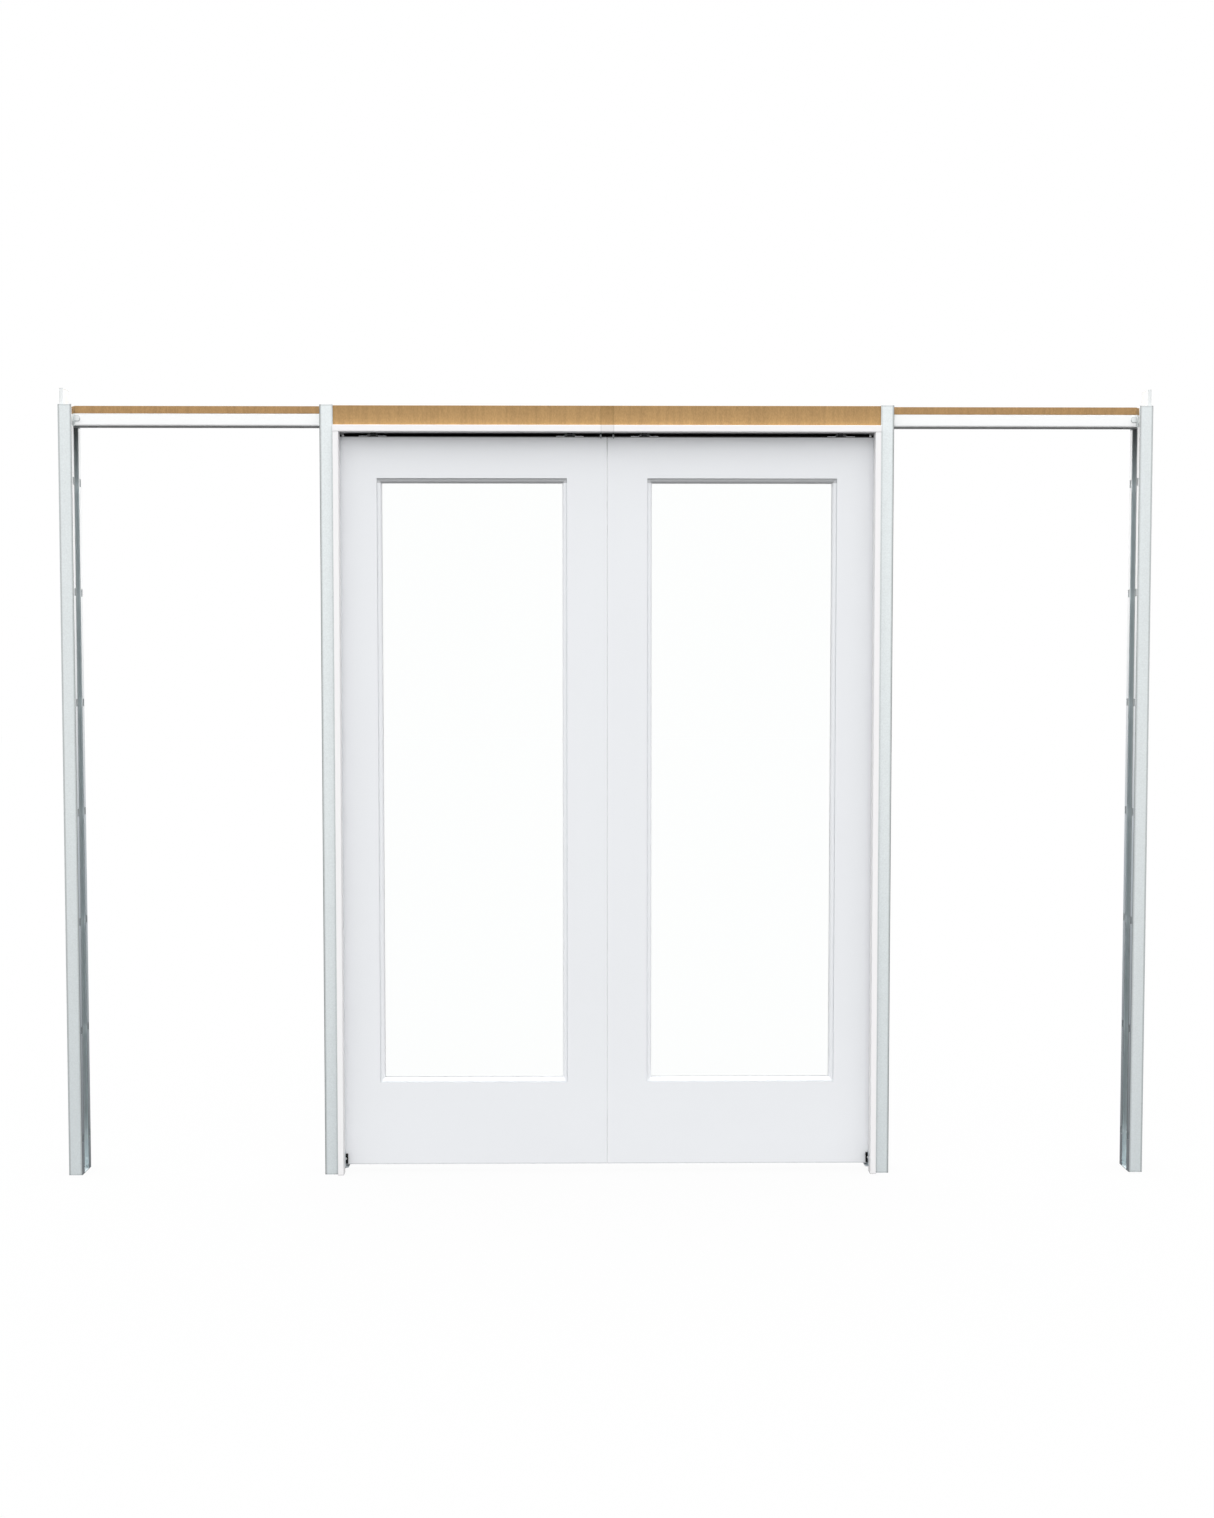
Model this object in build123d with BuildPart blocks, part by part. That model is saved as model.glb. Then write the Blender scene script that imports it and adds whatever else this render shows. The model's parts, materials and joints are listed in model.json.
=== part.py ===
"""Two glazed sliding doors that part into open pockets, hung in a steel and timber pocket frame.

X runs along the wall, the front faces -Y and Z is up. The origin is on the floor, at the middle.
"""

import os

from build123d import *

os.makedirs("parts", exist_ok=True)

# Doors
door_width = 762
door_height = 2032
door_thickness = 35
floor_gap = 21.5
meeting_gap = 0.8
meeting_stile_width = 111
hanging_stile_width = 126
top_rail_height = 114
bottom_rail_height = 232
stile_ease = 1.5
tenon_length = 45
tenon_thickness = 12
tenon_shoulder = 25
tenon_clearance = 0.15

# Glass and the moulded frames that hold it
glass_thickness = 5
glass_edge_gap = 2
bead_width = 12.6
bead_setback = 2
bead_groove_depth = 1.8
bead_groove_width = 1.2
bead_flat = 3
bead_quirk = 1.2
bead_lip = 3
bead_bulge_share = 0.7071

# Frame: how the doors sit in it
wall_depth = 89
jamb_overlap = 26
open_reveal = 6
pocket_clearance = 10.8
head_clearance = 9.5
hanger_drop = 27
cut_overrun = 5

# Steel posts
outer_post_width = 38
mid_post_width = 37
post_stand = 2
post_sheet = 1.2
bend_radius = 2.5
mouth_clearance = 5
mid_post_gap = 0.5
mid_post_lip = 10
slot_width = 12
slot_height = 21
slot_pitch = 305
slot_first_height = 100
header_notch_gap = 1
fixing_radius = 3
fixing_spread = 62
fixing_pitch = 1500

# Jambs
jamb_thickness = 16
jamb_projection = 11.5
jamb_clearance = 3.5
jamb_ease = 1.5
head_jamb_thickness = 18
head_jamb_gap = 1
splice_width = 37

# Header: plank, boards and box track
header_overhang = 6.5
plank_thickness = 20
board_setback = 0.5
board_ease = 1
track_height = 34.5
track_sheet = 1.6
track_corner = 5
track_top_corner = 2.5
track_slot = 16
nose_setback = 4
nose_length = 14
nose_depth = 18

# Header brackets
bracket_sheet = 1.2
anchor_depth = 10.7
anchor_width = 54
anchor_height = 112
anchor_stand = 46
tongue_length = 14
tongue_height = 16
tongue_drop = 6
tongue_tip_radius = 6

# Hangers
leading_inset = 103
trailing_inset = 115
plate_length = 76
plate_width = 32
plate_sheet = 2
plate_hole_radius = 2.5
plate_hole_inset = 8
arch_length = 24
arch_ramp = 5
arch_height = 6
bolt_radius = 4
bolt_flats = 13
bolt_head_height = 4.5
bolt_collar_height = 6.5
bolt_clearance = 0.3
trolley_length = 62
trolley_height = 16
trolley_corner = 6
axle_spacing = 38
axle_radius = 2.5
axle_head_radius = 4
axle_head_height = 1.2
axle_end_gap = 0.3
axle_clearance = 0.05
wheel_radius = 11
wheel_side_gap = 0.6
wheel_hub_wall = 2
wheel_dish = 1.5
running_gap = 0.3

# Bumpers, clips and floor guides
bumper_length = 24
bumper_height = 20
bumper_gap = 1
bumper_side_gap = 0.5
bumper_nose = 5
clip_sheet = 2
clip_drop = 14.5
clip_strap_height = 3
clip_clearance = 1
clip_top_gap = 0.5
guide_sheet = 2
guide_width = 10
guide_depth = 8
guide_height = 40
guide_door_gap = 5.5
pad_width = 6
pad_height = 27
pad_lift = 9.5
pad_gap = 0.6
pad_depth = 8.5
pad_chamfer = 1.2
pad_notch_radius = 4.5

# Distances along the wall, outward from the middle
meeting_edge = meeting_gap / 2
trailing_edge = meeting_edge + door_width
opening_half = trailing_edge - jamb_overlap
mid_post_inner = opening_half + jamb_thickness
travel = opening_half - meeting_edge - open_reveal
frame_half = trailing_edge + travel + pocket_clearance + post_sheet
post_inner = frame_half - outer_post_width
splice_half = splice_width / 2
nose_start = post_inner - nose_setback
nose_tip = nose_start + nose_length
glazed_start = meeting_edge + meeting_stile_width
glazed_end = trailing_edge - hanging_stile_width
glazed_width = glazed_end - glazed_start
hanger_places = (meeting_edge + leading_inset, trailing_edge - trailing_inset)

# Heights above the floor
door_top = floor_gap + door_height
glazed_bottom = floor_gap + bottom_rail_height
glazed_top = door_top - top_rail_height
head_jamb_bottom = door_top + head_clearance
head_jamb_top = head_jamb_bottom + head_jamb_thickness
track_bottom = door_top + hanger_drop
track_top = track_bottom + track_height
header_top = track_top + plank_thickness
post_height = header_top + post_stand
anchor_top = post_height + anchor_stand
tongue_top = track_top - tongue_drop
rail_lip = track_bottom + track_sheet
wheel_height = rail_lip + running_gap + wheel_radius
trolley_top = wheel_height + trolley_height / 2
guide_top = floor_gap - guide_door_gap

# Depths from the middle of the wall
wall_half = wall_depth / 2
door_half = door_thickness / 2
header_half = door_half + header_overhang
mouth_width = door_thickness + 2 * mouth_clearance
mid_post_depth = wall_half - header_half - mid_post_gap
board_face = wall_half - board_setback
jamb_front = wall_half + jamb_projection
jamb_back = door_half + jamb_clearance
head_jamb_back = header_half + head_jamb_gap
nose_half = header_half - nose_depth
glass_half = glass_thickness / 2
rail_flat_end = header_half - track_corner
wheel_width = rail_flat_end - track_slot / 2 - 2 * wheel_side_gap
wheel_depth = (rail_flat_end + track_slot / 2) / 2
trolley_half = wheel_depth - wheel_width / 2 - wheel_side_gap
axle_half = wheel_depth + wheel_width / 2 - wheel_dish + axle_end_gap
pad_face = door_half + pad_gap

sides = {"left": -1, "right": 1}
faces = {"front": -1, "rear": 1}


def save(part, name):
    """Label a finished piece and write it as its own file."""
    part.label = name
    export_step(part, f"parts/{name}.step")


def board(side, face, across, deep, high, grain, ease):
    """A straight board between distances from the middle of the wall, its long edges eased."""
    with BuildPart() as piece:
        with Locations((side * sum(across) / 2, face * sum(deep) / 2, sum(high) / 2)):
            Box(across[1] - across[0], deep[1] - deep[0], high[1] - high[0])
        fillet(piece.edges().filter_by(grain), ease)
    return piece.part


def nose_outline(side):
    """Plan of a header half, from the middle of the wall to its tapered nose in the outer post."""
    front = [(0, -header_half), (side * nose_start, -header_half), (side * nose_tip, -nose_half)]
    rear = [(x, -y) for x, y in reversed(front)]
    Polygon(*front, *rear, align=None)


def outer_post(side):
    """C stud on a closed foot, its mouth to the opening, its lips slotted and cut away for the header."""
    with BuildPart() as piece:
        with BuildSketch():
            with Locations((side * (frame_half - outer_post_width / 2), 0)):
                RectangleRounded(outer_post_width, wall_depth, bend_radius)
                RectangleRounded(outer_post_width - 2 * post_sheet, wall_depth - 2 * post_sheet,
                                 bend_radius - post_sheet, mode=Mode.SUBTRACT)
            with Locations((side * post_inner, 0)):
                Rectangle(2 * bend_radius, mouth_width, mode=Mode.SUBTRACT)
        extrude(amount=post_height)
        with BuildSketch():
            with Locations((side * (frame_half - outer_post_width / 2), 0)):
                RectangleRounded(outer_post_width, wall_depth, bend_radius)
        extrude(amount=post_sheet)
        slot_count = int((post_height - 2 * slot_first_height) // slot_pitch) + 1
        slot_middle = slot_first_height + slot_pitch * (slot_count - 1) / 2
        with BuildSketch(Plane.YZ.offset(side * post_inner)):
            with Locations((0, slot_middle)):
                with GridLocations((wall_depth + mouth_width) / 2, slot_pitch, 2, slot_count):
                    Rectangle(slot_width, slot_height)
        extrude(amount=cut_overrun, both=True, mode=Mode.SUBTRACT)
        with BuildSketch(Plane.XY.offset(track_bottom - header_notch_gap)):
            with Locations((side * post_inner, 0)):
                Rectangle(2 * bend_radius, wall_depth - 2 * bend_radius)
        extrude(amount=post_height, mode=Mode.SUBTRACT)
        with BuildSketch(Plane.YZ.offset(side * frame_half)):
            with Locations((0, post_height / 2)):
                with GridLocations(fixing_spread, fixing_pitch, 2, 2):
                    Circle(fixing_radius)
        extrude(amount=cut_overrun, both=True, mode=Mode.SUBTRACT)
    return piece.part


def header_bracket(side):
    """Channel inside the outer post's top, with two folded tongues that hold the track's nose."""
    seat = frame_half - post_sheet
    web = seat - anchor_depth
    with BuildPart() as piece:
        with BuildSketch(Plane.XY.offset(anchor_top - anchor_height)) as channel:
            with Locations((side * (seat + web) / 2, 0)):
                Rectangle(anchor_depth, anchor_width)
            with Locations((side * (seat + web + bracket_sheet) / 2, 0)):
                Rectangle(anchor_depth - bracket_sheet, anchor_width - 2 * bracket_sheet,
                          mode=Mode.SUBTRACT)
            corners = channel.vertices().group_by(Axis.X)
            fillet(corners[0] if side > 0 else corners[-1], bend_radius)
        extrude(amount=anchor_height)
        with BuildSketch(Plane.XY.offset(tongue_top - tongue_height)):
            for face in faces.values():
                with BuildLine():
                    Polyline((side * web, face * nose_half), (side * nose_tip, face * nose_half),
                             (side * nose_start, face * header_half),
                             (side * (nose_start - tongue_length), face * header_half))
                    offset(amount=bracket_sheet, side=Side.LEFT if side * face < 0 else Side.RIGHT)
                make_face()
        extrude(amount=tongue_height)
        tips = piece.edges().filter_by(Axis.Y).group_by(Axis.X)
        fillet(tips[0] if side > 0 else tips[-1], tongue_tip_radius)
    return piece.part


def mid_post(side, face):
    """Lipped channel beside the opening, one of the pair that the door slides between."""
    middle = mid_post_inner + mid_post_width / 2
    with BuildPart() as piece:
        with BuildSketch():
            with Locations((side * middle, face * (wall_half - mid_post_depth / 2))):
                RectangleRounded(mid_post_width, mid_post_depth, bend_radius)
                RectangleRounded(mid_post_width - 2 * post_sheet, mid_post_depth - 2 * post_sheet,
                                 bend_radius - post_sheet, mode=Mode.SUBTRACT)
            with Locations((side * middle, face * (wall_half - mid_post_depth))):
                Rectangle(mid_post_width - 2 * mid_post_lip, 2 * bend_radius, mode=Mode.SUBTRACT)
        extrude(amount=post_height)
    return piece.part


def header_plank(side):
    """Timber plank that the track hangs from."""
    with BuildPart() as piece:
        with BuildSketch(Plane.XY.offset(track_top)):
            nose_outline(side)
        extrude(amount=plank_thickness)
    return piece.part


def track(side):
    """Rolled box track, open along its underside, with round lower edges and a folded nose."""
    with BuildPart() as piece:
        with BuildSketch(Plane.YZ) as section:
            with Locations((0, (track_bottom + track_top) / 2)):
                Rectangle(2 * header_half, track_height)
            fillet(section.vertices().group_by(Axis.Y)[0], track_corner)
            fillet(section.vertices().group_by(Axis.Y)[-1], track_top_corner)
        extrude(amount=side * nose_tip)
        with BuildSketch(Plane.XY.offset(track_bottom)):
            nose_outline(side)
        extrude(amount=track_height, mode=Mode.INTERSECT)
        offset(amount=-track_sheet, openings=piece.faces().filter_by(Axis.X))
        with BuildSketch(Plane.XY.offset(track_bottom)):
            with Locations((side * nose_tip / 2, 0)):
                Rectangle(nose_tip, track_slot)
        extrude(amount=2 * track_sheet, mode=Mode.SUBTRACT)
    return piece.part


def track_bumpers():
    """Rubber stops that sit on the track's lips and in its slot, one in each pocket."""
    start = hanger_places[-1] + trolley_length / 2 + travel + bumper_gap
    with BuildPart() as piece:
        for side in sides.values():
            with BuildSketch(Plane.YZ.offset(side * start)):
                with Locations((0, rail_lip + bumper_height / 2)):
                    Rectangle(2 * (rail_flat_end - bumper_side_gap), bumper_height)
                with Locations((0, rail_lip - track_sheet / 2)):
                    Rectangle(track_slot - 2 * bumper_side_gap, track_sheet)
            extrude(amount=side * bumper_length)
        ends = piece.edges().filter_by(Axis.Y).group_by(Axis.Z)[-1].sort_by(Axis.X)
        fillet(ends[1:3], bumper_nose)
    return piece.part


def centre_clips():
    """Folded clips over the head joint: a strap on each head jamb and two legs beside the doors."""
    top = track_bottom - clip_top_gap
    reach = door_half + clip_clearance
    with BuildPart() as piece:
        for face in faces.values():
            with BuildSketch(Plane.XY.offset(top - clip_strap_height)):
                with Locations((0, face * (head_jamb_back - clip_sheet / 2))):
                    Rectangle(splice_width, clip_sheet)
            extrude(amount=clip_strap_height)
            with BuildSketch(Plane.XY.offset(head_jamb_bottom - clip_drop)):
                with Locations((0, face * (head_jamb_back + reach) / 2)):
                    with GridLocations(splice_width - clip_sheet, 0, 2, 1):
                        Rectangle(clip_sheet, head_jamb_back - reach)
            extrude(amount=top - head_jamb_bottom + clip_drop)
    return piece.part


def guide_brackets():
    """Folded straps under the doors, with an upright on the inner face of each side jamb."""
    upright_middle = pad_face + guide_depth / 2 + pad_gap
    with BuildPart() as piece:
        with Locations((0, 0, guide_top - guide_sheet / 2)):
            with GridLocations(2 * opening_half - guide_width, 0, 2, 1):
                Box(guide_width, 2 * upright_middle + guide_depth, guide_sheet)
        with Locations((0, 0, guide_top + guide_height / 2)):
            with GridLocations(2 * opening_half - guide_sheet, 2 * upright_middle, 2, 2):
                Box(guide_sheet, guide_depth, guide_height)
    return piece.part


def guide_pads():
    """Nylon pads on the guide uprights, just clear of both door faces, notched for a screw head."""
    pad_middle = (opening_half - guide_sheet - pad_width / 2, pad_face + pad_depth / 2)
    with BuildPart() as piece:
        with Locations((0, 0, guide_top + pad_lift + pad_height / 2)):
            with GridLocations(2 * pad_middle[0], 2 * pad_middle[1], 2, 2):
                Box(pad_width, pad_depth, pad_height)
        rubbing = piece.edges().filter_by(Axis.Z).filter_by_position(Axis.Y, -pad_face, pad_face)
        chamfer(rubbing, pad_chamfer)
        with BuildSketch(Plane.XZ):
            with Locations((0, guide_top + pad_lift + pad_height / 2)):
                with GridLocations(2 * (opening_half - guide_sheet), 0, 2, 1):
                    Circle(pad_notch_radius)
        extrude(amount=pad_face + pad_depth + cut_overrun, both=True, mode=Mode.SUBTRACT)
    return piece.part


def stile(side, start, end, tenon_side):
    """Upright of a door, with a mortise for each rail's tenon; tenon_side is 1 at its outer edge."""
    edge = end if tenon_side > 0 else start
    depth = tenon_length + tenon_clearance
    with BuildPart() as piece:
        with Locations((side * (start + end) / 2, 0, floor_gap + door_height / 2)):
            Box(end - start, door_thickness, door_height)
        free_edges = piece.edges().filter_by(Axis.Z).group_by(Axis.X)
        fillet(free_edges[0] if side * tenon_side > 0 else free_edges[-1], stile_ease)
        for low, high in ((floor_gap, glazed_bottom), (glazed_top, door_top)):
            with Locations((side * (edge - tenon_side * depth / 2), 0, (low + high) / 2)):
                Box(depth, tenon_thickness + 2 * tenon_clearance,
                    high - low - 2 * tenon_shoulder + 2 * tenon_clearance, mode=Mode.SUBTRACT)
    return piece.part


def rail(side, low, high):
    """Cross piece of a door, with a tenon at each end."""
    with BuildPart() as piece:
        with Locations((side * (glazed_start + glazed_end) / 2, 0, (low + high) / 2)):
            Box(glazed_width, door_thickness, high - low)
            Box(glazed_width + 2 * tenon_length, tenon_thickness, high - low - 2 * tenon_shoulder)
    return piece.part


def glass(side):
    """Clear pane, held between the two moulded frames."""
    with BuildPart() as piece:
        with Locations((side * (glazed_start + glazed_end) / 2, 0, (glazed_bottom + glazed_top) / 2)):
            Box(glazed_width - 2 * glass_edge_gap, glass_thickness,
                glazed_top - glazed_bottom - 2 * glass_edge_gap)
    return piece.part


def glazing_frame(side, face):
    """Moulded frame round the pane: a groove, a flat, a quirk and a rounded bead down to the glass."""
    middle = side * (glazed_start + glazed_end) / 2
    depth = door_half - glass_half
    round_start = bead_setback + bead_quirk
    round_end = depth - bead_lip
    bulge = (round_end - bead_bulge_share * (round_end - round_start),
             bead_flat + bead_bulge_share * (bead_width - bead_flat))
    corner = Vector(middle, face * door_half, glazed_bottom)
    with BuildPart() as piece:
        with BuildLine(Plane(corner, x_dir=(1, 0, 0), z_dir=(0, -1, 0))) as path:
            half, tall = glazed_width / 2, glazed_top - glazed_bottom
            Polyline((0, 0), (half, 0), (half, tall), (-half, tall), (-half, 0), close=True)
        with BuildSketch(Plane(corner, x_dir=(0, -face, 0), z_dir=(-face, 0, 0))):
            with BuildLine():
                Polyline((round_end, bead_width), (depth, bead_width), (depth, 0),
                         (bead_setback + bead_groove_depth, 0), (bead_setback, bead_groove_width),
                         (bead_setback, bead_flat), (round_start, bead_flat))
                ThreePointArc((round_start, bead_flat), bulge, (round_end, bead_width))
            make_face()
        sweep(path=path.wires()[0], transition=Transition.RIGHT)
    return piece.part


def hanger_plates(side):
    """Steel plates on the door's top, each with an arch that the hanger bolt's head sits in."""
    arch_half = arch_length / 2 + arch_ramp
    with BuildPart() as piece:
        for place in hanger_places:
            with BuildSketch(Plane((side * place, plate_width / 2, door_top), x_dir=(1, 0, 0),
                                   z_dir=(0, -1, 0))):
                with BuildLine():
                    Polyline((-plate_length / 2, 0), (-arch_half, 0), (-arch_length / 2, arch_height),
                             (arch_length / 2, arch_height), (arch_half, 0), (plate_length / 2, 0))
                    offset(amount=plate_sheet, side=Side.LEFT)
                make_face()
            extrude(amount=plate_width)
        with BuildSketch(Plane.XY.offset(door_top - cut_overrun)):
            for place in hanger_places:
                with Locations((side * place, 0)):
                    Circle(bolt_radius + bolt_clearance)
                    with GridLocations(plate_length - 2 * plate_hole_inset, 0, 2, 1):
                        Circle(plate_hole_radius)
        extrude(amount=arch_height + plate_sheet + 2 * cut_overrun, mode=Mode.SUBTRACT)
    return piece.part


def hanger_bolts(side):
    """Bolts with a hexagon head under the plate's arch and an adjusting collar on top of it."""
    head_top = door_top + arch_height
    collar_bottom = head_top + plate_sheet
    with BuildPart() as piece:
        for low, high in ((head_top - bolt_head_height, head_top),
                          (collar_bottom, collar_bottom + bolt_collar_height)):
            with BuildSketch(Plane.XY.offset(low)):
                with Locations([(side * place, 0) for place in hanger_places]):
                    RegularPolygon(bolt_flats / 2, side_count=6, major_radius=False)
            extrude(amount=high - low)
        with BuildSketch(Plane.XY.offset(head_top)):
            with Locations([(side * place, 0) for place in hanger_places]):
                Circle(bolt_radius)
        extrude(amount=trolley_top - head_top)
    return piece.part


def trolleys(side):
    """Trolley bodies that run inside the track, bored for the hanger bolt and two axles."""
    with BuildPart() as piece:
        with BuildSketch(Plane.XZ.offset(-trolley_half)):
            with Locations([(side * place, wheel_height) for place in hanger_places]):
                RectangleRounded(trolley_length, trolley_height, trolley_corner)
                with GridLocations(axle_spacing, 0, 2, 1):
                    Circle(axle_radius + axle_clearance, mode=Mode.SUBTRACT)
        extrude(amount=2 * trolley_half)
        with BuildSketch(Plane.XY.offset(trolley_top)):
            with Locations([(side * place, 0) for place in hanger_places]):
                Circle(bolt_radius + axle_clearance)
        extrude(amount=trolley_height, both=True, mode=Mode.SUBTRACT)
    return piece.part


def axle_places(side):
    """Where a door's four axles cross the middle of the wall."""
    return [(side * place + step * axle_spacing / 2, 0, wheel_height)
            for place in hanger_places for step in (-1, 1)]


def axles(side):
    """Riveted pins that carry the wheels on each side of the trolleys."""
    with BuildPart() as piece:
        with Locations(axle_places(side)):
            Cylinder(axle_radius, 2 * axle_half, rotation=(90, 0, 0))
            with GridLocations(0, 2 * axle_half + axle_head_height, 1, 2):
                Cylinder(axle_head_radius, axle_head_height, rotation=(90, 0, 0))
    return piece.part


def wheel_pair(place):
    """Two nylon wheels on one axle, each dished on its outer face round a flat hub."""
    bore = axle_radius + axle_clearance
    inner, outer = -wheel_width / 2, wheel_width / 2
    hub_face = outer - wheel_dish
    section = [(inner, bore), (inner, wheel_radius), (outer, wheel_radius),
               (hub_face, bore + wheel_hub_wall), (hub_face, bore)]
    with BuildPart() as piece:
        with BuildSketch(Plane(place, x_dir=(0, 1, 0), z_dir=(1, 0, 0))):
            with Locations((wheel_depth, 0)):
                Polygon(*section, align=None)
        revolve(axis=Axis(place, (0, 1, 0)))
        mirror(about=Plane.XZ)
    return piece.part


# Frame
head_high = (head_jamb_bottom, head_jamb_top)
board_high = (head_jamb_top, header_top)
half_across = (splice_half, mid_post_inner)
splice_across = (-splice_half, splice_half)
for side_name, side in sides.items():
    save(outer_post(side), f"outer_post_{side_name}")
    save(header_bracket(side), f"header_bracket_{side_name}")
    save(header_plank(side), f"header_plank_{side_name}")
    save(track(side), f"track_{side_name}")
    for face_name, face in faces.items():
        side_jamb = board(side, face, (opening_half, mid_post_inner), (jamb_back, jamb_front),
                          (0, head_jamb_bottom), Axis.Z, jamb_ease)
        head_jamb = board(side, face, half_across, (head_jamb_back, jamb_front), head_high,
                          Axis.X, jamb_ease)
        header_board = board(side, face, half_across, (header_half, board_face), board_high,
                             Axis.X, board_ease)
        save(mid_post(side, face), f"mid_post_{side_name}_{face_name}")
        save(side_jamb, f"side_jamb_{side_name}_{face_name}")
        save(head_jamb, f"head_jamb_{side_name}_{face_name}")
        save(header_board, f"header_board_{side_name}_{face_name}")
head_splices = [board(1, face, splice_across, (head_jamb_back, jamb_front), head_high, Axis.X, jamb_ease)
                for face in faces.values()]
board_splices = [board(1, face, splice_across, (header_half, board_face), board_high, Axis.X, board_ease)
                 for face in faces.values()]
save(Compound(children=head_splices), "head_jamb_splices")
save(Compound(children=board_splices), "header_board_splices")
save(track_bumpers(), "track_bumpers")
save(centre_clips(), "centre_clips")
save(guide_brackets(), "guide_brackets")
save(guide_pads(), "guide_pads")

# Doors
for side_name, side in sides.items():
    save(stile(side, meeting_edge, glazed_start, 1), f"{side_name}_meeting_stile")
    save(stile(side, glazed_end, trailing_edge, -1), f"{side_name}_hanging_stile")
    save(rail(side, glazed_top, door_top), f"{side_name}_top_rail")
    save(rail(side, floor_gap, glazed_bottom), f"{side_name}_bottom_rail")
    save(glass(side), f"{side_name}_glass")
    for face_name, face in faces.items():
        save(glazing_frame(side, face), f"{side_name}_glazing_frame_{face_name}")
    save(hanger_plates(side), f"{side_name}_hanger_plates")
    save(hanger_bolts(side), f"{side_name}_hanger_bolts")
    save(trolleys(side), f"{side_name}_trolleys")
    save(axles(side), f"{side_name}_axles")
    for number, place in enumerate(axle_places(side), start=1):
        save(wheel_pair(place), f"{side_name}_wheels_{number}")
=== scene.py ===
"""Finishes, fixings and a studio for two glazed doors that slide into the open pockets of their frame.

The packed solids are the frame of reference: every length is in metres, X runs along the wall,
the front faces -Y and Z is up. Colours are written as an eye-dropper reads them.
"""

import json
import math

import bmesh
import bpy
from bpy.props import FloatProperty, FloatVectorProperty, IntProperty, PointerProperty
from mathutils import Matrix, Vector


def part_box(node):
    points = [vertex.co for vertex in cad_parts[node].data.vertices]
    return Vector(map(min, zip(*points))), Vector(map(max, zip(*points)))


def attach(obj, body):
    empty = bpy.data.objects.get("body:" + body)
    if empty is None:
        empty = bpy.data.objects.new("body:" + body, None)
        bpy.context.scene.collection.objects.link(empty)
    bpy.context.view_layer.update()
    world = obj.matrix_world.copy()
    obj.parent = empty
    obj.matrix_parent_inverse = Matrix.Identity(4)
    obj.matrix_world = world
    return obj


bl_info = {
    "name": "Pocket French Doors",
    "version": (1, 0, 0),
    "blender": (4, 5, 0),
    "location": "View3D > Sidebar > Pocket Doors",
    "description": "Dresses a pair of glazed pocket doors and their frame, and sets up a studio",
    "category": "Object",
}

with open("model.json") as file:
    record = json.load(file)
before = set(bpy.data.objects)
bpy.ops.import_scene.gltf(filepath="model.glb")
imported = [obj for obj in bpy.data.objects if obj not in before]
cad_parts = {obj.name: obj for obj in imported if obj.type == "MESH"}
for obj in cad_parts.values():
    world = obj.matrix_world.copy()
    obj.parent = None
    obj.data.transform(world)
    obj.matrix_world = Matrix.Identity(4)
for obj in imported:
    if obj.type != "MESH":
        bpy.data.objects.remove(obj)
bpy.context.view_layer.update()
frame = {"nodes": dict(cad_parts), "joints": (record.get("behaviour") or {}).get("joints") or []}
SIDES = {"left": -1, "right": 1}
FACES = {"front": -1, "rear": 1}
# Room for rounding where a face's place is compared, and light kept in the darker clouds of a finish
TOLERANCE = 0.0005
CLOUD = 0.97


# Helpers for sizes, colours and names
def srgb(red, green, blue):
    """Linear shader values of a colour given as 0 to 255 screen values."""
    shares = [value / 255 for value in (red, green, blue)]
    return tuple(share / 12.92 if share < 0.04045 else ((share + 0.055) / 1.055) ** 2.4 for share in shares)


def dimmed(tint, share):
    """A colour that keeps this share of its light."""
    return tuple(share * part for part in tint)


def colour(label, about, value):
    """A colour setting with its default."""
    return FloatVectorProperty(name=label, description=about, subtype="COLOR", size=3, min=0, max=1,
                               default=value)


def length(label, about, value):
    """A length setting with its default, in metres."""
    return FloatProperty(name=label, description=about, unit="LENGTH", min=0, default=value)


def amount(label, about, value):
    """A plain number setting with its default."""
    return FloatProperty(name=label, description=about, min=0, default=value)


def frame_nodes(*starts):
    """Names of the solids that start with one of these words."""
    return [name for name in frame["nodes"] if name.startswith(starts)]


def door_nodes(*words):
    """Names of both doors' solids that start with one of these words after their side."""
    return frame_nodes(*(f"{side}_{word}" for side in SIDES for word in words))


def reach(node):
    """How far from the middle of the opening a solid of one side starts and ends."""
    return sorted(abs(corner.x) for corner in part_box(node))


def dress(names, material):
    """Give these solids one material."""
    for name in names:
        slots = frame["nodes"][name].data.materials
        slots.clear()
        slots.append(material)


# Shader writing: sockets that do sums, and materials built from them
class Wire:
    """A value in a node tree. Sums and comparisons with it add Math nodes."""

    def __init__(self, graph, socket):
        self.graph = graph
        self.socket = socket

    def math(self, operation, *values):
        """Add one Math node."""
        return self.graph.node("ShaderNodeMath", {"operation": operation}, dict(enumerate(values)))

    def __add__(self, other):
        return self.math("ADD", self, other)

    def __sub__(self, other):
        return self.math("SUBTRACT", self, other)

    def __rsub__(self, other):
        return self.math("SUBTRACT", other, self)

    def __mul__(self, other):
        return self.math("MULTIPLY", self, other)

    def __truediv__(self, other):
        return self.math("DIVIDE", self, other)

    def __rtruediv__(self, other):
        return self.math("DIVIDE", other, self)

    def __lt__(self, other):
        return self.math("LESS_THAN", self, other)

    def __gt__(self, other):
        return self.math("GREATER_THAN", self, other)

    def __abs__(self):
        return self.math("ABSOLUTE", self)

    __radd__ = __add__
    __rmul__ = __mul__


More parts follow.
